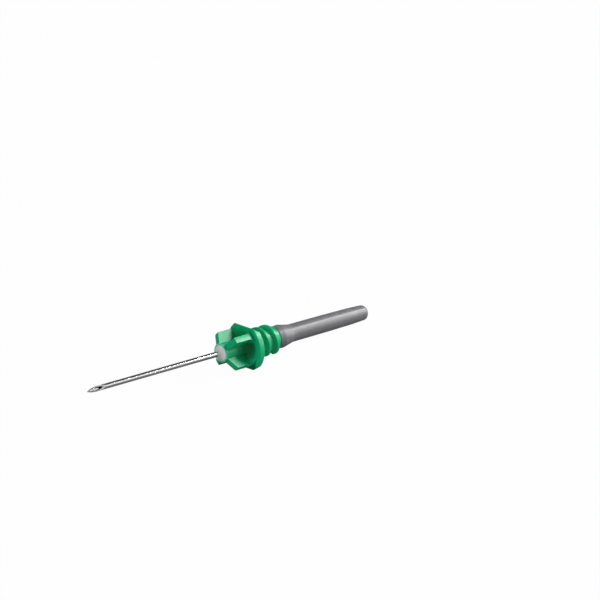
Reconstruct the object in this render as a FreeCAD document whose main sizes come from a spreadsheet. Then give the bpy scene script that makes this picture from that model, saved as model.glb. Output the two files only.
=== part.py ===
"""Double-ended blood collection needle: a steel tube bonded into a winged, threaded hub, with a rubber
sleeve over its rear half. Millimetres. Each piece is drawn about the X axis, which is the needle's own
axis, with x = 0 at the front of the hub's boss, the point towards -X and the sleeve towards +X. The
placement at the end lays the finished needle down as it rests, on one flat of the flange and the end of
the sleeve."""

import FreeCAD, Part
import math
import os
import Sketcher

Vector = FreeCAD.Vector
Rotation = FreeCAD.Rotation
Placement = FreeCAD.Placement

doc = FreeCAD.newDocument("BloodCollectionNeedle")
X_AXIS = Vector(1, 0, 0)
Y_AXIS = Vector(0, 1, 0)


# Driving dimensions: name, value in millimetres (angles in degrees, turns and counts as they are)
SIZES = (
    ("tube_radius", 0.41),
    ("tube_bore_radius", 0.257),
    ("front_length", 25.4),
    ("rear_length", 12.9),
    ("bevel_length", 3.1),
    ("lancet_angle", 18.0),
    ("lancet_roll", 28.0),
    ("rear_bevel_length", 1.3),
    ("bevel_roll", 58.0),
    ("boss_radius", 1.47),
    ("well_wall", 0.24),
    ("well_depth", 1.5),
    ("well_cone_length", 0.8),
    ("tube_clearance", 0.02),
    ("wing_inset", 0.65),
    ("wing_thickness", 0.95),
    ("wing_setback", 0.2),
    ("wing_slope_length", 0.95),
    ("wing_count", 4),
    ("wing_roll", 45.0),
    ("wing_edge_round", 0.1),
    ("trim_clearance", 1.0),
    ("cove_radius", 0.95),
    ("flange_radius", 3.9),
    ("flange_front", 4.6),
    ("flange_thickness", 1.0),
    ("rim_front_round", 0.12),
    ("rim_rear_round", 0.26),
    ("flat_depth", 0.6),
    ("flat_slope_rise", 0.72),
    ("root_radius", 1.85),
    ("thread_height", 0.51),
    ("thread_lead_in", 0.46),
    ("thread_pitch", 1.6),
    ("thread_turns", 2.34),
    ("ridge_base", 1.0),
    ("ridge_crest_width", 0.34),
    ("ridge_sink", 0.1),
    ("shoulder_gap", 0.65),
    ("shoulder_chamfer", 0.18),
    ("nipple_radius", 1.12),
    ("nipple_neck_length", 1.1),
    ("barb_radius", 1.3),
    ("barb_ramp", 0.15),
    ("barb_length", 1.65),
    ("nose_radius", 0.8),
    ("sleeve_wall", 0.5),
    ("sleeve_cuff_radius", 1.74),
    ("sleeve_radius", 1.29),
    ("sleeve_end_radius", 1.17),
    ("sleeve_shoulder_length", 1.75),
    ("sleeve_bore_radius", 0.74),
    ("sleeve_end_room", 0.9),
    ("sleeve_end_wall", 1.3),
    ("sleeve_end_round", 0.75),
    ("bead_rise", 0.8),
    ("bead_collar", 0.05),
    ("bead_curve", 1.3),
    ("bead_drop", 0.03),
)

sheet = doc.addObject("Spreadsheet::Sheet", "Sizes")
for row, (alias, number) in enumerate(SIZES, start=1):
    sheet.set("A%d" % row, alias)
    sheet.set("B%d" % row, str(number))
    sheet.setAlias("B%d" % row, alias)
doc.recompute()


class Length:
    """A size as the sheet's expression, which drives the model, with its present value beside it."""

    def __init__(self, text, value):
        self.text = text
        self.value = value

    def joined(self, sign, other, value):
        return Length("(%s %s %s)" % (self.text, sign, as_length(other).text), value)

    def __add__(self, other):
        return self.joined("+", other, self.value + as_length(other).value)

    def __sub__(self, other):
        return self.joined("-", other, self.value - as_length(other).value)

    def __mul__(self, other):
        return self.joined("*", other, self.value * as_length(other).value)

    def __truediv__(self, other):
        return self.joined("/", other, self.value / as_length(other).value)

    def __neg__(self):
        return Length("(-1 * %s)" % self.text, -self.value)


def as_length(number):
    if isinstance(number, Length):
        return number
    return Length(repr(float(number)), float(number))


def size(alias):
    return Length("Sizes." + alias, float(sheet.get(alias)))


def tangent(angle):
    return Length("tan(%s * 1 deg)" % angle.text, math.tan(math.radians(angle.value)))


def cosine(angle):
    return Length("cos(%s * 1 deg)" % angle.text, math.cos(math.radians(angle.value)))


def new_body(name):
    body = doc.addObject("PartDesign::Body", name.title().replace("_", ""))
    body.Label = name
    return body


def origin_feature(body, role):
    return next(item for item in body.Origin.OriginFeatures if item.Role == role)


def pin_coordinate(sketch, kind, axis, geometry, point, length):
    """Ties one coordinate of a sketch point to an expression, or to the axis where it is zero."""
    if length.text == "0.0":
        sketch.addConstraint(Sketcher.Constraint("PointOnObject", geometry, point, axis))
        return
    index = sketch.addConstraint(Sketcher.Constraint(kind, -1, 1, geometry, point, length.value))
    sketch.setExpression("Constraints[%d]" % index, length.text)


def arc_between(start, end, radius):
    """The short arc from start to end; a positive radius bulges to the right of the way along."""
    chord = end - start
    height = math.sqrt(max(radius * radius - chord.Length ** 2 / 4, 0.0))
    side = Vector(-chord.y, chord.x, 0).normalize() * math.copysign(1, radius)
    centre = (start + end) * 0.5 + side * height
    first = math.atan2(start.y - centre.y, start.x - centre.x)
    last = math.atan2(end.y - centre.y, end.x - centre.x)
    if radius < 0:
        first, last = last, first
    return Part.ArcOfCircle(Part.Circle(centre, Vector(0, 0, 1), abs(radius)), first, last)


def outline(body, name, plane, corners, roll=None, station=None):
    """A closed sketch through corners given as (x, y) or (x, y, radius of the arc to the next one).
    roll turns the sketch about the needle's axis, and station moves it along that axis."""
    sketch = body.newObject("Sketcher::SketchObject", name)
    sketch.AttachmentSupport = [(origin_feature(body, plane), "")]
    sketch.MapMode = "FlatFace"
    turn = as_length(0) if roll is None else roll
    shift = as_length(0) if station is None else station
    sketch.AttachmentOffset = Placement(Vector(shift.value, 0, 0), Rotation(X_AXIS, turn.value))
    if roll is not None:
        sketch.setExpression(".AttachmentOffset.Rotation.Angle", turn.text)
    if station is not None:
        sketch.setExpression(".AttachmentOffset.Base.x", shift.text)
    corners = [tuple(as_length(entry) for entry in corner) for corner in corners]
    places = [Vector(corner[0].value, corner[1].value, 0) for corner in corners]
    starts = []
    ends = []
    for index, corner in enumerate(corners):
        start = places[index]
        end = places[(index + 1) % len(places)]
        if len(corner) == 3:
            arc = sketch.addGeometry(arc_between(start, end, corner[2].value), False)
            forward = corner[2].value > 0
            starts.append((arc, 1 if forward else 2))
            ends.append((arc, 2 if forward else 1))
            radius = corner[2] if forward else -corner[2]
            fixed = sketch.addConstraint(Sketcher.Constraint("Radius", arc, radius.value))
            sketch.setExpression("Constraints[%d]" % fixed, radius.text)
        else:
            line = sketch.addGeometry(Part.LineSegment(start, end), False)
            starts.append((line, 1))
            ends.append((line, 2))
    for index, corner in enumerate(corners):
        sketch.addConstraint(Sketcher.Constraint("Coincident", *ends[index - 1], *starts[index]))
        pin_coordinate(sketch, "DistanceX", -2, *starts[index], corner[0])
        pin_coordinate(sketch, "DistanceY", -1, *starts[index], corner[1])
    doc.recompute()
    return sketch


def revolve(body, name, corners, feature="PartDesign::Revolution"):
    """Turns an outline in the XZ plane round the needle's axis, adding it or, as a Groove, cutting it."""
    sketch = outline(body, name + "Outline", "XZ_Plane", corners)
    turned = body.newObject(feature, name)
    turned.Profile = sketch
    turned.ReferenceAxis = (sketch, ["H_Axis"])
    turned.Angle = 360.0
    doc.recompute()
    return turned


def cut_across(body, name, corners, width, roll=None):
    """Cuts an outline in the XZ plane straight through, the same way to both sides."""
    sketch = outline(body, name + "Outline", "XZ_Plane", corners, roll)
    before = body.Shape.Volume
    cut = body.newObject("PartDesign::Pocket", name)
    cut.Profile = sketch
    cut.SideType = "Symmetric"
    cut.Length = width.value
    cut.setExpression("Length", width.text)
    doc.recompute()
    if body.Shape.Volume >= before:
        raise RuntimeError(name + " cuts nothing")
    return cut


def round_edges(body, name, wanted, radius):
    """Rounds the edges of the body that the test picks out."""
    doc.recompute()
    base = body.Tip
    names = []
    for index, edge in enumerate(base.Shape.Edges, start=1):
        if wanted(edge):
            names.append("Edge%d" % index)
    if not names:
        raise RuntimeError(name + " finds no edge")
    rounding = body.newObject("PartDesign::Fillet", name)
    rounding.Base = (base, names)
    rounding.Radius = radius.value
    rounding.setExpression("Radius", radius.text)
    doc.recompute()
    if "Invalid" in rounding.State or rounding.Shape.isNull():
        raise RuntimeError(name + " fails")
    return rounding


def is_ring(edge, x, radius):
    """True for a circular edge about the needle's axis at that station and radius."""
    curve = edge.Curve
    if not isinstance(curve, Part.Circle):
        return False
    on_axis = math.hypot(curve.Center.y, curve.Center.z) < 1e-4
    return on_axis and abs(curve.Center.x - x) < 1e-4 and abs(curve.Radius - radius) < 1e-4


# Stations along the axis that more than one piece uses
flange_rear = size("flange_front") + size("flange_thickness")
wing_reach = size("flange_radius") - size("wing_inset")
flat_front = size("flange_radius") - size("flat_depth")
crest_radius = size("root_radius") + size("thread_height")
thread_start = flange_rear + size("thread_lead_in")
thread_end = thread_start + size("thread_pitch") * size("thread_turns")
hub_rear = thread_end + size("shoulder_gap")
barb_start = hub_rear + size("nipple_neck_length")
barb_crest = barb_start + size("barb_ramp")
nipple_end = barb_crest + size("barb_length")
tube_rear = nipple_end + size("rear_length")
well_radius = size("boss_radius") - size("well_wall")
well_bottom = size("well_depth") + size("well_cone_length")
tube_hole_radius = size("tube_radius") + size("tube_clearance")
sleeve_cavity_end = tube_rear + size("sleeve_end_room")
sleeve_end = sleeve_cavity_end + size("sleeve_end_wall")
sleeve_shoulder_end = barb_crest + size("sleeve_shoulder_length")
STATIONS = (
    ("flange rear", flange_rear),
    ("thread start", thread_start),
    ("thread end", thread_end),
    ("hub rear", hub_rear),
    ("nipple end", nipple_end),
    ("tube rear", tube_rear),
    ("sleeve end", sleeve_end),
)


def make_cannula():
    """The steel tube, with a lancet point in front and a short bevel behind."""
    body = new_body("cannula")
    outer = size("tube_radius")
    front = -size("front_length")
    revolve(body, "Tube", (
        (front, size("tube_bore_radius")),
        (tube_rear, size("tube_bore_radius")),
        (tube_rear, outer),
        (front, outer),
    ))
    clear = outer * 2
    cut_across(body, "PrimaryBevel", (
        (front - clear, -outer),
        (front, -outer),
        (front + size("bevel_length"), outer),
        (front + size("bevel_length"), outer + clear),
        (front - clear, outer + clear),
    ), clear * 2)
    lancet_run = size("bevel_length")
    for name, side in (("LancetNear", 1), ("LancetFar", -1)):
        roll = size("lancet_roll") * side
        foot = -outer * cosine(size("lancet_roll"))
        head = foot + lancet_run * tangent(size("lancet_angle"))
        cut_across(body, name, (
            (front - clear, foot),
            (front, foot),
            (front + lancet_run, head),
            (front + lancet_run, head + clear),
            (front - clear, head + clear),
        ), clear * 2, roll)
    cut_across(body, "RearBevel", (
        (tube_rear - size("rear_bevel_length"), outer),
        (tube_rear, -outer),
        (tube_rear + clear, -outer),
        (tube_rear + clear, outer + clear),
        (tube_rear - size("rear_bevel_length"), outer + clear),
    ), clear * 2)
    return body


def add_wings(body):
    """Crossed plates that spread into coves where they meet the flange, trimmed to a sloped front."""
    half = size("wing_thickness") / 2
    front = size("wing_setback")
    cove = size("cove_radius")
    spread_start = size("flange_front") - cove
    spread = half + cove
    backing = size("flange_front") + size("flange_thickness") / 2
    plan = outline(body, "WingPlan", "XY_Plane", (
        (front, -half),
        (spread_start, -half, -cove),
        (size("flange_front"), -spread),
        (backing, -spread),
        (backing, spread),
        (size("flange_front"), spread, -cove),
        (spread_start, half),
        (front, half),
    ))
    wing = body.newObject("PartDesign::Pad", "Wing")
    wing.Profile = plan
    wing.SideType = "Symmetric"
    span = size("flange_radius") * 3
    wing.Length = span.value
    wing.setExpression("Length", span.text)
    doc.recompute()
    cross = body.newObject("PartDesign::PolarPattern", "CrossedWings")
    cross.Originals = [wing]
    cross.Axis = (origin_feature(body, "X_Axis"), [""])
    cross.Angle = 360.0
    cross.Occurrences = int(size("wing_count").value)
    cross.setExpression("Occurrences", size("wing_count").text)
    body.Tip = cross
    doc.recompute()
    outside = span
    clear = size("trim_clearance")
    slope_end = front + size("wing_slope_length")
    inner = size("boss_radius") - size("well_wall")
    revolve(body, "WingTrim", (
        (front - clear, inner),
        (front, inner),
        (slope_end, wing_reach),
        (backing + clear, wing_reach),
        (backing + clear, outside),
        (front - clear, outside),
    ), "PartDesign::Groove")


def add_core(body):
    """Boss, flange, threaded neck and barbed nipple, turned as one profile, with coves and rounded rims."""
    boss = size("boss_radius")
    flange_front = size("flange_front")
    cove = size("cove_radius")
    flange = size("flange_radius")
    root = size("root_radius")
    chamfer = size("shoulder_chamfer")
    revolve(body, "Core", (
        (0, 0),
        (0, boss),
        (flange_front - cove, boss, cove),
        (flange_front, boss + cove),
        (flange_front, flange),
        (flange_rear, flange),
        (flange_rear, root),
        (hub_rear - chamfer, root),
        (hub_rear, root - chamfer),
        (hub_rear, size("nipple_radius")),
        (barb_start, size("nipple_radius")),
        (barb_crest, size("barb_radius")),
        (nipple_end, size("nose_radius")),
        (nipple_end, 0),
    ))


def ridge_end(body, name, station, roll):
    """A round end for the ridge: its half profile turned about the radial line at its last station."""
    half_base = size("ridge_base") / 2
    half_crest = size("ridge_crest_width") / 2
    sketch = outline(body, name + "Outline", "XZ_Plane", (
        (0, size("root_radius") - size("ridge_sink")),
        (half_base, size("root_radius") - size("ridge_sink")),
        (half_base, size("root_radius")),
        (half_crest, crest_radius),
        (0, crest_radius),
    ), roll, station)
    end = body.newObject("PartDesign::Revolution", name)
    end.Profile = sketch
    end.ReferenceAxis = (sketch, ["V_Axis"])
    end.Angle = 360.0
    doc.recompute()


def add_thread(body):
    """One right-hand ridge with sloped flanks that runs out of the flange and ends before the shoulder."""
    half_base = size("ridge_base") / 2
    half_crest = size("ridge_crest_width") / 2
    sunk = size("root_radius") - size("ridge_sink")
    profile = outline(body, "RidgeProfile", "XZ_Plane", (
        (thread_start - half_base, sunk),
        (thread_start + half_base, sunk),
        (thread_start + half_base, size("root_radius")),
        (thread_start + half_crest, crest_radius),
        (thread_start - half_crest, crest_radius),
        (thread_start - half_base, size("root_radius")),
    ))
    ridge = body.newObject("PartDesign::AdditiveHelix", "Thread")
    ridge.Profile = profile
    ridge.ReferenceAxis = (profile, ["H_Axis"])
    ridge.Mode = "pitch-turns-angle"
    ridge.Pitch = size("thread_pitch").value
    ridge.Turns = size("thread_turns").value
    ridge.setExpression("Pitch", size("thread_pitch").text)
    ridge.setExpression("Turns", size("thread_turns").text)
    doc.recompute()
    ridge_end(body, "ThreadEntry", thread_start, None)
    ridge_end(body, "ThreadExit", thread_end, size("thread_turns") * 360)


def cut_flats(body):
    """Two opposite flats on the flange's rim, midway between wings, deeper towards the rear."""
    front = size("flange_front")
    flat_rear = flat_front - size("flat_slope_rise")
    clear = size("flange_thickness") / 4
    outside = size("flange_radius") * 2
    past_wing = as_length(180) / size("wing_count")
    for name, roll in (("NearFlat", -past_wing), ("FarFlat", as_length(180) - past_wing)):
        cut_across(body, name, (
            (front - clear, flat_front),
            (front, flat_front),
            (flange_rear, flat_rear),
            (flange_rear + clear, flat_rear),
            (flange_rear + clear, outside),
            (front - clear, outside),
        ), outside, roll)


def cut_bore(body):
    """The adhesive well in the boss, its cone and the hole for the tube, right through."""
    clear = size("boss_radius") / 2
    revolve(body, "Bore", (
        (-clear, 0),
        (-clear, well_radius),
        (size("well_depth"), well_radius),
        (well_bottom, tube_hole_radius),
        (nipple_end + clear, tube_hole_radius),
        (nipple_end + clear, 0),
    ), "PartDesign::Groove")


def on_wing_front(edge):
    """True for an edge round the sloped front face of a wing, past the boss."""
    middle = edge.valueAt((edge.FirstParameter + edge.LastParameter) / 2)
    radius = math.hypot(middle.y, middle.z)
    inner = well_radius.value
    outer = wing_reach.value
    share = (middle.x - size("wing_setback").value) / size("wing_slope_length").value
    on_slope = abs(inner + share * (outer - inner) - radius) < 1e-3
    past_boss = radius > size("boss_radius").value + size("wing_edge_round").value
    return on_slope and past_boss and not isinstance(edge.Curve, Part.Line)


def make_hub():
    """The green moulding."""
    body = new_body("hub")
    add_wings(body)
    add_core(body)
    round_edges(body, "WingRounds", on_wing_front, size("wing_edge_round"))
    flange = size("flange_radius").value
    front = size("flange_front").value
    rear = flange_rear.value
    round_edges(body, "FrontRimRound", lambda edge: is_ring(edge, front, flange), size("rim_front_round"))
    round_edges(body, "RearRimRound", lambda edge: is_ring(edge, rear, flange), size("rim_rear_round"))
    cut_flats(body)
    add_thread(body)
    cut_bore(body)
    return body


def make_bead():
    """The cured adhesive: it fills the well and climbs the tube in a hollow curve."""
    body = new_body("adhesive_bead")
    tube = size("tube_radius")
    revolve(body, "Bead", (
        (-size("bead_rise"), tube),
        (-size("bead_rise"), tube + size("bead_collar"), size("bead_curve")),
        (size("bead_drop"), well_radius),
        (size("well_depth"), well_radius),
        (well_bottom, tube_hole_radius),
        (well_bottom, tube),
    ))
    return body


def make_sleeve():
    """The rubber sleeve: a cuff stretched over the barb, a long bore round the tube and a closed end."""
    body = new_body("rubber_sleeve")
    bore = size("sleeve_bore_radius")
    end_round = size("sleeve_end_round")
    end_radius = size("sleeve_end_radius")
    revolve(body, "Sleeve", (
        (hub_rear, size("nipple_radius")),
        (barb_start, size("nipple_radius")),
        (barb_crest, size("barb_radius")),
        (nipple_end, size("nose_radius")),
        (nipple_end, bore),
        (sleeve_cavity_end, bore),
        (sleeve_cavity_end, 0),
        (sleeve_end, 0),
        (sleeve_end, end_radius - end_round, end_round),
        (sleeve_end - end_round, end_radius),
        (sleeve_shoulder_end, size("sleeve_radius")),
        (barb_crest, size("barb_radius") + size("sleeve_wall")),
        (hub_rear, size("sleeve_cuff_radius")),
    ))
    return body


def resting_placement():
    """Tilts the axis so that the lower flat's front edge and the sleeve's end both touch z = 0."""
    end_round = size("sleeve_end_round").value
    flat_x = size("flange_front").value
    flat_drop = flat_front.value
    end_x = sleeve_end.value - end_round
    end_drop = size("sleeve_end_radius").value - end_round
    run = end_x - flat_x
    rise = flat_drop - end_drop
    tilt = math.atan2(rise, run) - math.asin(end_round / math.hypot(run, rise))
    height = math.sin(tilt) * flat_x + math.cos(tilt) * flat_drop
    return Placement(Vector(0, 0, height), Rotation(Y_AXIS, math.degrees(tilt)))


def lay_down(pieces):
    """Gives each piece its own roll about the axis and the common resting place, centred on the origin."""
    rest = resting_placement()
    for body, roll in pieces:
        body.Placement = rest.multiply(Placement(Vector(), Rotation(X_AXIS, roll)))
    doc.recompute()
    boxes = [body.Shape.optimalBoundingBox(False) for body, roll in pieces]
    middle_x = (min(box.XMin for box in boxes) + max(box.XMax for box in boxes)) / 2
    middle_y = (min(box.YMin for box in boxes) + max(box.YMax for box in boxes)) / 2
    for body, roll in pieces:
        body.Placement.Base = body.Placement.Base - Vector(middle_x, middle_y, 0)
    doc.recompute()
    front = rest.Base - Vector(middle_x, middle_y, 0)
    print("boss front at x %.4f y %.4f z %.4f" % tuple(front))
    print("axis tilted %.4f degrees" % math.degrees(rest.Rotation.Angle))
    for name, station in STATIONS:
        print("%-12s %8.4f" % (name, station.value))


def check_and_write(pieces):
    """Stops if any object failed or any piece is not one sound solid, then writes each to its file."""
    for item in doc.Objects:
        if "Invalid" in item.State or "Error" in item.State:
            raise RuntimeError("%s is %s" % (item.Label, item.State))
    for body, roll in pieces:
        shape = body.Shape
        if shape.isNull() or not shape.isValid() or len(shape.Solids) != 1:
            raise RuntimeError(body.Label + " is not one valid solid")
    os.makedirs("parts", exist_ok=True)
    for body, roll in pieces:
        body.Shape.exportStep("parts/%s.step" % body.Label)
        box = body.Shape.optimalBoundingBox(False)
        print("%-14s %8.3f mm3  x %7.3f %7.3f  y %6.3f %6.3f  z %6.3f %6.3f" % (
            body.Label, body.Shape.Volume, box.XMin, box.XMax, box.YMin, box.YMax, box.ZMin, box.ZMax))


PIECES = (
    (make_cannula(), size("bevel_roll").value),
    (make_hub(), size("wing_roll").value),
    (make_bead(), 0.0),
    (make_sleeve(), 0.0),
)
lay_down(PIECES)
check_and_write(PIECES)
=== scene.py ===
"""Looks of the double-ended blood collection needle, laid out as an add-on and run as a script.

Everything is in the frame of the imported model. Lengths are in metres, but the stations and radii that have
names here, and those in the materials, are in millimetres. Stations are counted along the needle's own axis
from the front of the hub's boss, positive towards the sleeve, and radii from that axis."""

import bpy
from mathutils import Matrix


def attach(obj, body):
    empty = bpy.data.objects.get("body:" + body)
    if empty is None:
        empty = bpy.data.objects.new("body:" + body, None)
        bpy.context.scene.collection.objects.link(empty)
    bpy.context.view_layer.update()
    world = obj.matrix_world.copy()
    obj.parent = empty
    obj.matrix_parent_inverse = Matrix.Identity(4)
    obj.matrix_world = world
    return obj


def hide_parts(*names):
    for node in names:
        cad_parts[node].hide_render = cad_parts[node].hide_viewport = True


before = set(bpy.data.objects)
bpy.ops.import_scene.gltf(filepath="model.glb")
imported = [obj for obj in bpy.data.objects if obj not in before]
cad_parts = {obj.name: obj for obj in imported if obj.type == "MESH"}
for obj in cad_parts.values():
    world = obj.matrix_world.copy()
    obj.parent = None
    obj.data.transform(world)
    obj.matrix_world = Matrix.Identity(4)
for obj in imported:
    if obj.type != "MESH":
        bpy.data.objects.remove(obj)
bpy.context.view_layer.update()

import math

import bmesh
import bpy
from mathutils import Matrix, Vector, noise

bl_info = {
    "name": "Blood collection needle",
    "version": (1, 0, 0),
    "blender": (4, 5, 0),
    "location": "3D View > Sidebar > Needle",
    "description": "Finishes, soft pieces and stage of the needle",
    "category": "Object",
}

MM = 0.001
TILT = math.radians(5.2595)
BOSS_FRONT = Vector((-1.5314, 0.0, 3.7078)) * MM
NEEDLE_TO_WORLD = Matrix.Translation(BOSS_FRONT) @ Matrix.Rotation(TILT, 4, "Y")
NEEDLE_MIDDLE = Vector((0.0, 0.0, 3.0)) * MM

# Stations and radii of the solids
TUBE_RADIUS = 0.41
WELL_RADIUS = 1.23
WELL_DEPTH = 1.5
WELL_BOTTOM = 2.3
WELL_BOTTOM_RADIUS = 0.43
HUB_REAR = 10.454
BARB_START = 11.554
BARB_CREST = 11.704
NIPPLE_END = 13.354
CAVITY_END = 27.154
SLEEVE_END = 28.454
CUFF_RADIUS = 1.74
BORE_RADIUS = 0.74
NECK_RADIUS = 1.12
BARB_RADIUS = 1.3
NIPPLE_END_RADIUS = 0.8
SLEEVE_END_RADIUS = 1.17
SLEEVE_END_ROUND = 0.75

# Where the finishes change, as stations or radii from no effect to the full one or back
THIN_STATIONS = (0.02, 0.5)
THIN_RADII = (1.44, 1.5)
# Painted shade: stations and radii over which the green darkens in the coves where the wings meet the boss,
# in front of the flange
COVE_SHADE_STATIONS = (1.8, 4.0)
COVE_SHADE_RADII = (3.0, 2.2)
FLANGE_FACE = (5.2, 5.0)
GROUND_TIP = (-22.1, -22.4)
GROUND_TAIL = (24.8, 25.0)

# Angle about the axis, in radians, of the line that the mould leaves on the sleeve
SPLIT_LINE_TURN = -0.9

# Lamps: direction from the needle, distance, width, and whether glossy surfaces show the lamp
KEY_LAMP = ((0.775, -0.36, 0.52), 0.35, 0.12, True)
SIDE_LAMP = ((0.82, -0.56, 0.1), 0.4, 0.16, True)
FILL_LAMP = ((-0.8, 0.1, 0.5), 0.4, 0.2, False)

# Dark cards: one corner and the two sides from there
CARDS = {
    "ceiling_card": ((-0.6, -0.2, 0.3), (1.25, 0.0, 0.0), (0.0, 0.75, 0.0)),
    "far_card": ((-0.6, 0.5, 0.0), (1.5, 0.0, 0.0), (0.0, 0.0, 0.35)),
    "left_card": ((-0.6, -0.6, 0.0), (0.0, 1.2, 0.0), (0.0, 0.0, 0.6)),
    "near_card": ((-0.6, -0.6, 0.0), (0.7, 0.0, 0.0), (0.0, 0.0, 0.6)),
    # Painted reflection: a dark sheet on the floor that only reflections see, standing in for the shaded
    # floor under the needle; it gives the tube its lower dark line
    "floor_shade_card": ((-0.2, -0.4, -0.00001), (0.6, 0.0, 0.0), (0.0, 0.9, 0.0)),
}
CARD_CELLS = 4
CARD_GREY = (0.14, 0.14, 0.14, 1.0)

FLOOR_HALF_WIDTH = 3.0
FLOOR_CELLS = 8
FLOOR_DROP = 0.00002
FLOOR_GREY = (0.55, 0.55, 0.55, 1.0)
FLOOR_WHITE_SHARE = 0.98
WHITE = (1.0, 1.0, 1.0, 1.0)

# Camera: width of its sensor in millimetres, and the nearest and farthest distance that it sees
SENSOR_WIDTH = 36.0
CLIP_START = 0.01
CLIP_END = 20.0

# Sockets of the Mix node, by index because several share a name
MIX_FLOAT_A, MIX_FLOAT_B, MIX_FLOAT_RESULT = 2, 3, 0
MIX_COLOUR_A, MIX_COLOUR_B, MIX_COLOUR_RESULT = 6, 7, 2


# Sizes and colours

class NeedleColours(bpy.types.PropertyGroup):
    """Colours of the four materials."""
    green: bpy.props.FloatVectorProperty(
        name="Green plastic", description="Moulded hub", subtype="COLOR", size=3, min=0, max=1,
        default=(0.005, 0.46, 0.2))
    pale_green: bpy.props.FloatVectorProperty(
        name="Thin green", description="Where the hub's wall is thin over the white adhesive",
        subtype="COLOR", size=3, min=0, max=1, default=(0.15, 0.72, 0.44))
    # Painted shade: a darker green laid into the coves between the wings, where shade falls
    painted_cove_shade: bpy.props.FloatVectorProperty(
        name="Painted shade green", description="Where the wings run together and the plastic is thick",
        subtype="COLOR", size=3, min=0, max=1, default=(0.001, 0.27, 0.09))
    steel: bpy.props.FloatVectorProperty(
        name="Steel", description="Drawn tube", subtype="COLOR", size=3, min=0, max=1,
        default=(0.87, 0.87, 0.88))
    adhesive: bpy.props.FloatVectorProperty(
        name="Adhesive", description="Cured, cloudy adhesive", subtype="COLOR", size=3, min=0, max=1,
        default=(0.95, 0.94, 0.93))
    rubber: bpy.props.FloatVectorProperty(
        name="Grey rubber", description="Sleeve", subtype="COLOR", size=3, min=0, max=1,
        default=(0.175, 0.175, 0.188))


class SleeveSizes(bpy.types.PropertyGroup):
    """Shape of the rubber sleeve."""
    lip: bpy.props.FloatProperty(
        name="Lip", description="Rounding of the cuff's edge", unit="LENGTH", default=0.00014, min=0)
    ripple: bpy.props.FloatProperty(
        name="Ripple", description="Height of the folds where the cuff is stretched", unit="LENGTH",
        default=0.000012, min=0)
    sway: bpy.props.FloatProperty(
        name="Sway", description="Unevenness of the moulded wall", unit="LENGTH", default=0.00001, min=0)


class BeadSizes(bpy.types.PropertyGroup):
    """Shape of the adhesive bead."""
    rise: bpy.props.FloatProperty(
        name="Rise", description="How far the adhesive climbs the tube", unit="LENGTH", default=0.00078,
        min=0)
    slump: bpy.props.FloatProperty(
        name="Slump", description="How much further it climbs on its lower side", unit="LENGTH",
        default=0.00014, min=0)


class StageSettings(bpy.types.PropertyGroup):
    """Camera and lamps."""
    azimuth: bpy.props.FloatProperty(
        name="Azimuth", description="Camera, from -Y towards -X", unit="ROTATION",
        default=math.radians(37.501))
    elevation: bpy.props.FloatProperty(
        name="Elevation", description="Camera, above the floor", unit="ROTATION",
        default=math.radians(21.134))
    roll: bpy.props.FloatProperty(
        name="Roll", description="Camera, about its own line of sight", unit="ROTATION",
        default=math.radians(-6.302))
    distance: bpy.props.FloatProperty(
        name="Distance", description="Camera to the needle", unit="LENGTH", default=1.5)
    lens: bpy.props.FloatProperty(name="Lens", description="Focal length in millimetres", default=596.774)
    aim_right: bpy.props.FloatProperty(
        name="Aim right", description="Middle of the picture, right of the needle's middle", unit="LENGTH",
        default=0.0107626)
    aim_up: bpy.props.FloatProperty(
        name="Aim up", description="Middle of the picture, above the needle's middle", unit="LENGTH",
        default=0.0082154)
    key: bpy.props.FloatProperty(
        name="Key", description="Power of the main lamp", unit="POWER", default=1.3)
    side: bpy.props.FloatProperty(
        name="Side", description="Power of the side lamp", unit="POWER", default=0.55)
    fill: bpy.props.FloatProperty(
        name="Fill", description="Power of the fill lamp", unit="POWER", default=0.75)
    ambient: bpy.props.FloatProperty(name="Ambient", description="Strength of the even light", default=0.07)


GROUPS = {
    "needle_colours": NeedleColours,
    "needle_sleeve": SleeveSizes,
    "needle_bead": BeadSizes,
    "needle_stage": StageSettings,
}


# Shader nodes and materials

def new_group(name, inputs, outputs):
    """A shader node group. Its inputs are floats, or vectors where the default is a triple."""
    group = bpy.data.node_groups.new(name, "ShaderNodeTree")
    for label, default in inputs:
        kind = "NodeSocketVector" if isinstance(default, tuple) else "NodeSocketFloat"
        socket = group.interface.new_socket(label, in_out="INPUT", socket_type=kind)
        socket.default_value = default
    for label, kind in outputs:
        group.interface.new_socket(label, in_out="OUTPUT", socket_type=kind)
    return group


def fill_inputs(tree, node, values):
    """Sets a node's inputs, or links them where the value is a socket."""
    for key, value in (values or {}).items():
        if isinstance(value, bpy.types.NodeSocket):
            tree.links.new(value, node.inputs[key])
        else:
            node.inputs[key].default_value = value


def put(tree, kind, values=None, **settings):
    """Adds a node, sets its properties and then its inputs."""
    node = tree.nodes.new(kind)
    for name, value in settings.items():
        setattr(node, name, value)
    fill_inputs(tree, node, values)
    return node


def maths(tree, operation, first, second=0.0):
    return put(tree, "ShaderNodeMath", {0: first, 1: second}, operation=operation).outputs[0]


def ramp(tree, value, low, high, start=0.0, end=1.0):
    """Maps low..high to start..end smoothly and holds the ends."""
    return put(tree, "ShaderNodeMapRange",
               {"Value": value, "From Min": low, "From Max": high, "To Min": start, "To Max": end},
               interpolation_type="SMOOTHSTEP").outputs[0]


def blend_values(tree, factor, first, second):
    return put(tree, "ShaderNodeMix", {"Factor": factor, MIX_FLOAT_A: first, MIX_FLOAT_B: second},
               data_type="FLOAT").outputs[MIX_FLOAT_RESULT]


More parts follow.
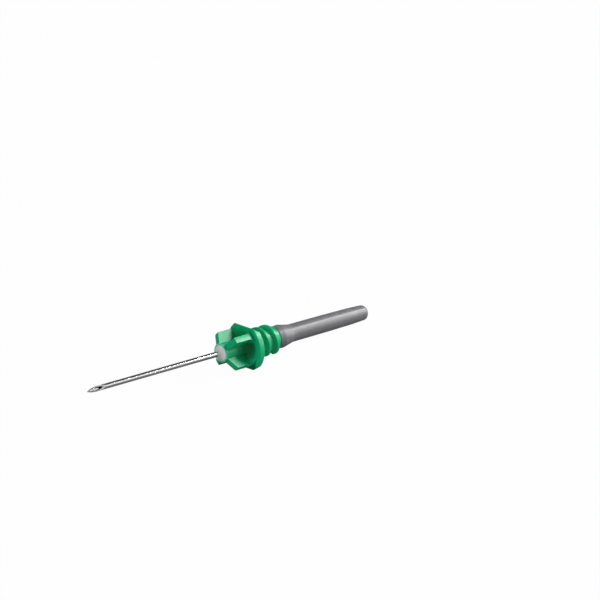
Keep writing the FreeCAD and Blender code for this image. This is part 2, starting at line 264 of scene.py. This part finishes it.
def blend_colours(tree, factor, first, second):
    """Mixes two colours, each a triple or a socket."""
    first, second = (value if isinstance(value, bpy.types.NodeSocket) else (*value, 1.0)
                     for value in (first, second))
    return put(tree, "ShaderNodeMix", {"Factor": factor, MIX_COLOUR_A: first, MIX_COLOUR_B: second},
               data_type="RGBA").outputs[MIX_COLOUR_RESULT]


def shaded(colour, share):
    """That colour made darker or paler by the share."""
    return tuple(min(value * share, 1.0) for value in colour)


def needle_space():
    """The place in the needle's own frame, its station and radius, and its angle about the axis."""
    group = new_group(
        "Needle space", [],
        [("Place", "NodeSocketVector"), ("Station", "NodeSocketFloat"), ("Radius", "NodeSocketFloat"),
         ("Turn", "NodeSocketFloat")])
    coordinates = put(group, "ShaderNodeTexCoord")
    moved = put(group, "ShaderNodeVectorMath", {0: coordinates.outputs["Object"], 1: BOSS_FRONT},
                operation="SUBTRACT")
    turned = put(group, "ShaderNodeVectorRotate", {"Vector": moved.outputs[0], "Angle": -TILT},
                 rotation_type="Y_AXIS")
    scaled = put(group, "ShaderNodeVectorMath", {0: turned.outputs[0], "Scale": 1 / MM}, operation="SCALE")
    parts = put(group, "ShaderNodeSeparateXYZ", {0: scaled.outputs[0]})
    across = put(group, "ShaderNodeCombineXYZ", {"Y": parts.outputs["Y"], "Z": parts.outputs["Z"]})
    length = put(group, "ShaderNodeVectorMath", {0: across.outputs[0]}, operation="LENGTH")
    turn = maths(group, "ARCTAN2", parts.outputs["Y"], parts.outputs["Z"])
    put(group, "NodeGroupOutput",
        {"Place": scaled.outputs[0], "Station": parts.outputs["X"], "Radius": length.outputs["Value"],
         "Turn": turn})
    return group


def moulded_skin():
    """Slow unevenness and fine grain of a moulded surface, as a tone mask and a height."""
    group = new_group(
        "Moulded skin",
        [("Place", (0.0, 0.0, 0.0)), ("Cloud scale", 0.6), ("Grain scale", 14.0), ("Grain share", 0.5)],
        [("Tone", "NodeSocketFloat"), ("Height", "NodeSocketFloat")])
    given = put(group, "NodeGroupInput")
    cloud = put(group, "ShaderNodeTexNoise",
                {"Vector": given.outputs["Place"], "Scale": given.outputs["Cloud scale"], "Detail": 3.0})
    grain = put(group, "ShaderNodeTexNoise",
                {"Vector": given.outputs["Place"], "Scale": given.outputs["Grain scale"], "Detail": 2.0})
    height = blend_values(group, given.outputs["Grain share"], cloud.outputs[0], grain.outputs[0])
    tone = ramp(group, cloud.outputs[0], 0.3, 0.7)
    put(group, "NodeGroupOutput", {"Tone": tone, "Height": height})
    return group


def line_mask():
    """A soft line where Value passes At, with a full width of Width."""
    group = new_group(
        "Line mask", [("Value", 0.0), ("At", 0.0), ("Width", 0.1)], [("Mask", "NodeSocketFloat")])
    given = put(group, "NodeGroupInput")
    away = maths(group, "ABSOLUTE", maths(group, "SUBTRACT", given.outputs["Value"], given.outputs["At"]))
    half = maths(group, "MULTIPLY", given.outputs["Width"], 0.5)
    share = maths(group, "DIVIDE", away, half)
    put(group, "NodeGroupOutput", {"Mask": ramp(group, share, 0.0, 1.0, 1.0, 0.0)})
    return group


GROUP_MAKERS = {"Needle space": needle_space, "Moulded skin": moulded_skin, "Line mask": line_mask}


def use_group(tree, name, values=None):
    """Adds the named group, which is made at its first use, and returns its outputs."""
    group = bpy.data.node_groups.get(name) or GROUP_MAKERS[name]()
    return put(tree, "ShaderNodeGroup", values, node_tree=group).outputs


def new_material(name, **constants):
    """A material with one Principled shader, whose plain values are set on its own sockets."""
    material = bpy.data.materials.new(name)
    material.use_nodes = True
    tree = material.node_tree
    tree.nodes.clear()
    shader = put(tree, "ShaderNodeBsdfPrincipled")
    for key, value in constants.items():
        shader.inputs[key.replace("_", " ")].default_value = value
    put(tree, "ShaderNodeOutputMaterial", {"Surface": shader.outputs[0]})
    return material, tree, shader


def feed(tree, shader, **sockets):
    """Links sockets to the shader's inputs of those names."""
    for key, socket in sockets.items():
        tree.links.new(socket, shader.inputs[key.replace("_", " ")])


def bump(tree, height, distance):
    return put(tree, "ShaderNodeBump", {"Height": height, "Distance": distance, "Strength": 1.0}).outputs[0]


def green_plastic(colours):
    """Glossy moulded plastic: faint clouds and grain, a parting line, paler in the thin wall of the well,
    and painted shade that darkens it where the wings run together in front of the flange."""
    material, tree, shader = new_material(
        "green_plastic", IOR=1.5, Specular_IOR_Level=0.38, Subsurface_Weight=0.04, Subsurface_Scale=0.0004,
        Subsurface_Radius=(0.15, 1.0, 0.5))
    place = use_group(tree, "Needle space")
    skin = use_group(tree, "Moulded skin", {"Place": place["Place"], "Cloud scale": 0.7, "Grain scale": 16.0,
                                            "Grain share": 0.55})
    tone = blend_colours(tree, skin["Tone"], shaded(colours.green, 0.94), colours.green)
    at_front = ramp(tree, place["Station"], *THIN_STATIONS, 1.0, 0.0)
    near_axis = ramp(tree, place["Radius"], *THIN_RADII, 1.0, 0.0)
    thin = maths(tree, "MULTIPLY", at_front, near_axis)
    # Painted shade: darker green in the coves between the wings, up to the flange's face
    root = maths(tree, "MULTIPLY", ramp(tree, place["Station"], *COVE_SHADE_STATIONS),
                 ramp(tree, place["Radius"], *COVE_SHADE_RADII))
    before_flange = ramp(tree, place["Station"], *FLANGE_FACE)
    shadowed = maths(tree, "MULTIPLY", root, before_flange)
    deep = blend_colours(tree, shadowed, tone, colours.painted_cove_shade)
    feed(tree, shader, Base_Color=blend_colours(tree, thin, deep, colours.pale_green))
    feed(tree, shader, Roughness=ramp(tree, skin["Tone"], 0.0, 1.0, 0.38, 0.34))
    parts = put(tree, "ShaderNodeSeparateXYZ", {0: place["Place"]})
    seam = use_group(tree, "Line mask", {"Value": parts.outputs["Y"], "At": 0.0, "Width": 0.07})
    height = maths(tree, "ADD", maths(tree, "MULTIPLY", skin["Height"], 0.35), seam["Mask"])
    feed(tree, shader, Normal=bump(tree, height, 0.000012))
    return material


def drawn_steel(colours):
    """Polished drawn tube: fine lines along it, a coarser ground finish at both cut ends."""
    material, tree, shader = new_material("steel", Metallic=1.0)
    place = use_group(tree, "Needle space")
    lengthwise = put(tree, "ShaderNodeVectorMath", {0: place["Place"], 1: (0.25, 9.0, 9.0)},
                     operation="MULTIPLY")
    drawn = put(tree, "ShaderNodeTexNoise", {"Vector": lengthwise.outputs[0], "Scale": 3.0, "Detail": 3.0})
    crosswise = put(tree, "ShaderNodeVectorMath", {0: place["Place"], 1: (30.0, 1.5, 1.5)},
                    operation="MULTIPLY")
    ground = put(tree, "ShaderNodeTexNoise", {"Vector": crosswise.outputs[0], "Scale": 1.0, "Detail": 2.0})
    tip = ramp(tree, place["Station"], *GROUND_TIP)
    tail = ramp(tree, place["Station"], *GROUND_TAIL)
    cut = maths(tree, "MAXIMUM", tip, tail)
    height = blend_values(tree, cut, drawn.outputs[0], ground.outputs[0])
    feed(tree, shader, Base_Color=blend_colours(tree, height, shaded(colours.steel, 0.9), colours.steel))
    feed(tree, shader, Roughness=ramp(tree, height, 0.2, 0.8, 0.06, 0.1))
    feed(tree, shader, Normal=bump(tree, height, 0.000003))
    return material


def cloudy_adhesive(colours):
    """Cured adhesive, whitish and glossy, with small bubbles and a slightly uneven skin."""
    material, tree, shader = new_material(
        "adhesive", IOR=1.5, Subsurface_Weight=0.45, Subsurface_Scale=0.0005,
        Subsurface_Radius=(1.0, 0.95, 0.9))
    place = use_group(tree, "Needle space")
    skin = use_group(tree, "Moulded skin", {"Place": place["Place"], "Cloud scale": 1.6, "Grain scale": 9.0,
                                            "Grain share": 0.3})
    bubbles = put(tree, "ShaderNodeTexVoronoi", {"Vector": place["Place"], "Scale": 4.5})
    inside = ramp(tree, bubbles.outputs["Distance"], 0.08, 0.17, 1.0, 0.0)
    greyer = shaded(colours.adhesive, 0.93)
    cloudy = blend_colours(tree, skin["Tone"], greyer, colours.adhesive)
    bubbled = blend_colours(tree, maths(tree, "MULTIPLY", inside, 0.35), cloudy, greyer)
    feed(tree, shader, Base_Color=bubbled)
    feed(tree, shader, Roughness=ramp(tree, skin["Tone"], 0.0, 1.0, 0.3, 0.18))
    height = maths(tree, "SUBTRACT", skin["Height"], maths(tree, "MULTIPLY", inside, 0.4))
    feed(tree, shader, Normal=bump(tree, height, 0.00003))
    return material


def grey_rubber(colours):
    """Matt moulded rubber with a trace of powder, fine grain and the mould's faint split line."""
    material, tree, shader = new_material("grey_rubber", IOR=1.52)
    place = use_group(tree, "Needle space")
    skin = use_group(tree, "Moulded skin", {"Place": place["Place"], "Cloud scale": 0.9, "Grain scale": 22.0,
                                            "Grain share": 0.6})
    powder = put(tree, "ShaderNodeTexNoise",
                 {"Vector": place["Place"], "Scale": 2.6, "Detail": 6.0, "Roughness": 0.7})
    dusted = ramp(tree, powder.outputs[0], 0.5, 0.75, 0.0, 0.35)
    base = blend_colours(tree, skin["Tone"], shaded(colours.rubber, 0.85), colours.rubber)
    feed(tree, shader, Base_Color=blend_colours(tree, dusted, base, shaded(colours.rubber, 1.45)))
    feed(tree, shader, Roughness=ramp(tree, powder.outputs[0], 0.35, 0.7, 0.36, 0.46))
    seam = use_group(tree, "Line mask", {"Value": place["Turn"], "At": SPLIT_LINE_TURN, "Width": 0.09})
    height = maths(tree, "ADD", maths(tree, "MULTIPLY", skin["Height"], 0.8), seam["Mask"])
    feed(tree, shader, Normal=bump(tree, height, 0.00001))
    return material


MATERIALS = {"green_plastic": green_plastic, "steel": drawn_steel, "adhesive": cloudy_adhesive,
             "grey_rubber": grey_rubber}


def finish_node(name, slot):
    """Puts the slot's material on a carried-over node."""
    material = MATERIALS[slot](bpy.context.scene.needle_colours)
    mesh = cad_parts[name].data
    mesh.materials.clear()
    mesh.materials.append(material)


# Meshes

def turned_piece(name, profile, segments, shape):
    """A closed solid turned about the needle's axis, from a closed profile of (station, radius) in metres.
    shape(station, radius, angle, index) returns the moved station and radius of one point."""
    mesh = bpy.data.meshes.new(name)
    work = bmesh.new()
    rings = []
    for index, (station, radius) in enumerate(profile):
        if radius == 0.0:
            rings.append([work.verts.new(NEEDLE_TO_WORLD @ Vector((station, 0.0, 0.0)))])
            continue
        ring = []
        for step in range(segments):
            angle = 2 * math.pi * step / segments
            x, r = shape(station, radius, angle, index)
            point = Vector((x, -r * math.sin(angle), r * math.cos(angle)))
            ring.append(work.verts.new(NEEDLE_TO_WORLD @ point))
        rings.append(ring)
    for first, second in zip(rings, rings[1:] + rings[:1]):
        for step in range(segments):
            after = (step + 1) % segments
            if len(first) == 1 and len(second) == 1:
                break
            if len(first) == 1:
                work.faces.new((first[0], second[after], second[step]))
            elif len(second) == 1:
                work.faces.new((first[step], first[after], second[0]))
            else:
                work.faces.new((first[step], first[after], second[after], second[step]))
    bmesh.ops.recalc_face_normals(work, faces=work.faces)
    work.to_mesh(mesh)
    work.free()
    piece = bpy.data.objects.new(name, mesh)
    bpy.context.scene.collection.objects.link(piece)
    return piece


def shade_smooth(piece, sharp_degrees):
    """Smooth shading, apart from the edges that turn by more than that."""
    piece.data.shade_smooth()
    piece.data.set_sharp_from_angle(angle=math.radians(sharp_degrees))


def arc_points(centre, radius, start, end, count):
    """Points of an arc in the profile's plane, with angles from the axis towards larger radii."""
    angles = [start + (end - start) * step / count for step in range(count + 1)]
    return [(centre[0] + radius * math.cos(angle), centre[1] + radius * math.sin(angle))
            for angle in angles]


def spread(first, last, count):
    """Evenly spaced points from one profile point to another, without the first."""
    along, out = last[0] - first[0], last[1] - first[1]
    return [(first[0] + along * step / count, first[1] + out * step / count)
            for step in range(1, count + 1)]


def give(piece, node, material):
    """Makes a new piece stand for a node, with its material and the body."""
    piece.data.materials.append(material)
    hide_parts(node)
    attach(piece, "root")


def build_sleeve(sizes, colours):
    """The rubber sleeve with its rounded cuff, the stretch folds behind it and an uneven moulded wall."""
    lip = sizes.lip / MM
    cuff = arc_points((HUB_REAR + lip, CUFF_RADIUS - lip), lip, math.pi, math.pi / 2, 6)
    swell_centre, swell_radius = (BARB_CREST - 0.15, 1.32), 0.48
    swell = arc_points(swell_centre, swell_radius, math.radians(95), math.radians(72), 6)
    wall = [(13.25, 1.44), (13.38, 1.4), (13.54, 1.382), (13.8, 1.378), (20.5, 1.345), (25.2, 1.28)]
    dome = arc_points((SLEEVE_END - SLEEVE_END_ROUND, SLEEVE_END_RADIUS - SLEEVE_END_ROUND),
                      SLEEVE_END_ROUND, math.pi / 2, 0.0, 10)
    outer = cuff + spread(cuff[-1], swell[0], 6)[:-1] + swell
    outer += spread(swell[-1], wall[0], 12)[:-1] + wall
    outer += spread(wall[-1], dome[0], 12)[:-1] + dome
    outer += [(SLEEVE_END, 0.2), (SLEEVE_END, 0.0)]
    inner = [(CAVITY_END, 0.0), (CAVITY_END, BORE_RADIUS), (NIPPLE_END, BORE_RADIUS),
             (NIPPLE_END, NIPPLE_END_RADIUS), (BARB_CREST, BARB_RADIUS), (BARB_START, NECK_RADIUS),
             (HUB_REAR, NECK_RADIUS)]
    last_uneven = len(outer) - 3
    profile = [(x * MM, r * MM) for x, r in outer + inner]
    fold_station, fold_reach, fold_count = 12.9, 0.9, 9
    limit_radius, limit_slope = 1.8, 6

    def shape(station, radius, angle, index):
        """The unevenness and the folds, which fade out where the wall is near the limit of its radius."""
        if not 0 < index <= last_uneven:
            return station, radius
        x = station / MM
        around = Vector((math.cos(angle), math.sin(angle), 0.0))
        uneven = noise.noise(around * 1.3 + Vector((0, 0, x * 0.45))) * sizes.sway
        stretched = math.exp(-((x - fold_station) / fold_reach) ** 2)
        folds = math.sin(angle * fold_count + 1.7 * math.sin(angle * 2)) * sizes.ripple * stretched
        room = min(1.0, (limit_radius - radius / MM) * limit_slope)
        return station, radius + (uneven + folds) * max(room, 0.0) - abs(uneven) * 0.2

    piece = turned_piece("rubber_sleeve_wall", profile, 96, shape)
    shade_smooth(piece, 35)
    give(piece, "rubber_sleeve", MATERIALS["grey_rubber"](colours))


def build_bead(sizes, colours):
    """The adhesive: an uneven hollow meniscus between the tube and the rim of the well, solid below."""
    rise = sizes.rise / MM
    rim_drop, edge, curl, wave_height = 0.03, 0.03, 2.1, 0.05 * MM
    steps = 18
    skin = []
    for step in range(steps + 1):
        share = step / steps
        radius = TUBE_RADIUS + edge + (WELL_RADIUS - TUBE_RADIUS - edge) * share
        fall = (1 - share) ** curl
        skin.append((rim_drop - (rise + rim_drop) * fall, radius))
    below = [(WELL_DEPTH, WELL_RADIUS), (WELL_BOTTOM, WELL_BOTTOM_RADIUS), (WELL_BOTTOM, TUBE_RADIUS)]
    profile = [(x * MM, r * MM) for x, r in [(skin[0][0], TUBE_RADIUS)] + skin + below]

    def shape(station, radius, angle, index):
        """The lean towards the lower side, most at the tube, and waves in the middle of the skin."""
        if index > steps + 1:
            return station, radius
        share = min(max((radius / MM - TUBE_RADIUS) / (WELL_RADIUS - TUBE_RADIUS), 0.0), 1.0)
        low = 0.5 - 0.5 * math.cos(angle)
        lean = sizes.slump * (low - 0.5) * (1 - share) * 2
        place = Vector((math.cos(angle) * 1.2, math.sin(angle) * 1.2, share * 2))
        wave = noise.noise(place) * wave_height * math.sin(math.pi * share)
        return station - lean + wave, radius

    piece = turned_piece("adhesive_fillet", profile, 72, shape)
    shade_smooth(piece, 50)
    give(piece, "adhesive_bead", MATERIALS["adhesive"](colours))


# Stage

def seen_ray(tree):
    """1 for rays that show the background: camera, glossy and transmitted ones."""
    path = put(tree, "ShaderNodeLightPath")
    either = maths(tree, "MAXIMUM", path.outputs["Is Camera Ray"], path.outputs["Is Glossy Ray"])
    return maths(tree, "MAXIMUM", either, path.outputs["Is Transmission Ray"])


def build_floor():
    """A pale floor just under the needle, white to the rays that show the background."""
    mesh = bpy.data.meshes.new("floor")
    work = bmesh.new()
    bmesh.ops.create_grid(work, x_segments=FLOOR_CELLS, y_segments=FLOOR_CELLS, size=FLOOR_HALF_WIDTH)
    work.to_mesh(mesh)
    work.free()
    floor = bpy.data.objects.new("floor", mesh)
    floor.location.z = -FLOOR_DROP
    bpy.context.scene.collection.objects.link(floor)
    material, tree, shader = new_material("pale_floor", Roughness=0.9, Base_Color=FLOOR_GREY)
    white = put(tree, "ShaderNodeEmission", {"Color": WHITE, "Strength": 1.0})
    share = maths(tree, "MULTIPLY", seen_ray(tree), FLOOR_WHITE_SHARE)
    mixed = put(tree, "ShaderNodeMixShader", {0: share, 1: shader.outputs[0], 2: white.outputs[0]})
    output = next(node for node in tree.nodes if node.type == "OUTPUT_MATERIAL")
    tree.links.new(mixed.outputs[0], output.inputs["Surface"])
    mesh.materials.append(material)


def build_world(ambient):
    """A weak even light, white to the rays that show the background."""
    world = bpy.data.worlds.new("studio")
    world.use_nodes = True
    tree = world.node_tree
    tree.nodes.clear()
    even = put(tree, "ShaderNodeBackground", {"Color": WHITE, "Strength": ambient})
    white = put(tree, "ShaderNodeBackground", {"Color": WHITE, "Strength": 1.0})
    mixed = put(tree, "ShaderNodeMixShader", {0: seen_ray(tree), 1: even.outputs[0], 2: white.outputs[0]})
    put(tree, "ShaderNodeOutputWorld", {"Surface": mixed.outputs[0]})
    bpy.context.scene.world = world


def add_lamp(name, power, direction, distance, width, in_reflections):
    """A round lamp in that direction from the needle, facing it."""
    light = bpy.data.lights.new(name, "AREA")
    light.shape = "DISK"
    light.size = width
    light.energy = power
    lamp = bpy.data.objects.new(name, light)
    way = Vector(direction).normalized()
    lamp.location = way * distance
    lamp.rotation_euler = way.to_track_quat("Z", "Y").to_euler()
    lamp.visible_glossy = in_reflections
    bpy.context.scene.collection.objects.link(lamp)


def add_card(name, corner, side, rise):
    """A dark card away from the needle that only reflections show. It gives the dark lines on the tube."""
    mesh = bpy.data.meshes.new(name)
    work = bmesh.new()
    across, upward = Vector(side) / CARD_CELLS, Vector(rise) / CARD_CELLS
    rows = [[work.verts.new(Vector(corner) + across * u + upward * v) for u in range(CARD_CELLS + 1)]
            for v in range(CARD_CELLS + 1)]
    for low, high in zip(rows, rows[1:]):
        for u in range(CARD_CELLS):
            work.faces.new((low[u], low[u + 1], high[u + 1], high[u]))
    work.to_mesh(mesh)
    work.free()
    card = bpy.data.objects.new(name, mesh)
    card.visible_camera = False
    card.visible_diffuse = False
    card.visible_shadow = False
    bpy.context.scene.collection.objects.link(card)
    mesh.materials.append(new_material(name, Roughness=0.8, Base_Color=CARD_GREY)[0])


def build_camera(stage):
    """The camera, with its frame given by the directions right, up and back in the picture."""
    azimuth, elevation = stage.azimuth, stage.elevation
    back = Vector((-math.sin(azimuth) * math.cos(elevation), -math.cos(azimuth) * math.cos(elevation),
                   math.sin(elevation)))
    level = Vector((math.cos(azimuth), -math.sin(azimuth), 0.0))
    upright = back.cross(level)
    right = math.cos(stage.roll) * level + math.sin(stage.roll) * upright
    up = math.cos(stage.roll) * upright - math.sin(stage.roll) * level
    aim = NEEDLE_MIDDLE + right * stage.aim_right + up * stage.aim_up
    data = bpy.data.cameras.new("camera")
    data.sensor_width = SENSOR_WIDTH
    data.lens = stage.lens
    data.clip_start = CLIP_START
    data.clip_end = CLIP_END
    camera = bpy.data.objects.new("camera", data)
    turn = Matrix((right, up, back)).transposed().to_4x4()
    camera.matrix_world = Matrix.Translation(aim + back * stage.distance) @ turn
    bpy.context.scene.collection.objects.link(camera)
    bpy.context.scene.camera = camera


# Operators and panel

class NEEDLE_OT_cannula(bpy.types.Operator):
    """Gives the steel tube its drawn and ground finish"""
    bl_idname = "needle.cannula"
    bl_label = "Steel tube"

    def execute(self, context):
        finish_node("cannula", "steel")
        return {"FINISHED"}


class NEEDLE_OT_hub(bpy.types.Operator):
    """Gives the hub its moulded green finish"""
    bl_idname = "needle.hub"
    bl_label = "Hub"

    def execute(self, context):
        finish_node("hub", "green_plastic")
        return {"FINISHED"}


class NEEDLE_OT_bead(bpy.types.Operator):
    """Builds the cured adhesive round the tube"""
    bl_idname = "needle.bead"
    bl_label = "Adhesive"

    def execute(self, context):
        build_bead(context.scene.needle_bead, context.scene.needle_colours)
        return {"FINISHED"}


class NEEDLE_OT_sleeve(bpy.types.Operator):
    """Builds the rubber sleeve"""
    bl_idname = "needle.sleeve"
    bl_label = "Rubber sleeve"

    def execute(self, context):
        build_sleeve(context.scene.needle_sleeve, context.scene.needle_colours)
        return {"FINISHED"}


class NEEDLE_OT_stage(bpy.types.Operator):
    """Sets up the floor, the light, the dark cards and the camera"""
    bl_idname = "needle.stage"
    bl_label = "Stage"

    def execute(self, context):
        stage = context.scene.needle_stage
        context.scene.view_settings.view_transform = "Standard"
        build_floor()
        build_world(stage.ambient)
        add_lamp("key_lamp", stage.key, *KEY_LAMP)
        add_lamp("side_lamp", stage.side, *SIDE_LAMP)
        add_lamp("fill_lamp", stage.fill, *FILL_LAMP)
        for name, sides in CARDS.items():
            add_card(name, *sides)
        build_camera(stage)
        return {"FINISHED"}


class NEEDLE_PT_panel(bpy.types.Panel):
    """Lists the steps that build the needle"""
    bl_label = "Needle"
    bl_idname = "NEEDLE_PT_panel"
    bl_space_type = "VIEW_3D"
    bl_region_type = "UI"
    bl_category = "Needle"

    def draw(self, context):
        for operator in OPERATORS:
            self.layout.operator(operator.bl_idname)
        for group in GROUPS:
            settings = getattr(context.scene, group)
            box = self.layout.box()
            for name in settings.bl_rna.properties.keys():
                if name not in ("rna_type", "name"):
                    box.prop(settings, name)


OPERATORS = (NEEDLE_OT_cannula, NEEDLE_OT_hub, NEEDLE_OT_bead, NEEDLE_OT_sleeve, NEEDLE_OT_stage)


def register():
    for group in GROUPS.values():
        bpy.utils.register_class(group)
    for name, group in GROUPS.items():
        setattr(bpy.types.Scene, name, bpy.props.PointerProperty(type=group))
    for item in (*OPERATORS, NEEDLE_PT_panel):
        bpy.utils.register_class(item)


def unregister():
    for item in (NEEDLE_PT_panel, *reversed(OPERATORS)):
        bpy.utils.unregister_class(item)
    for name, group in GROUPS.items():
        delattr(bpy.types.Scene, name)
        bpy.utils.unregister_class(group)


def main():
    register()
    for step in ("cannula", "hub", "bead", "sleeve", "stage"):
        getattr(bpy.ops.needle, step)()


if __name__ == "__main__":
    main()
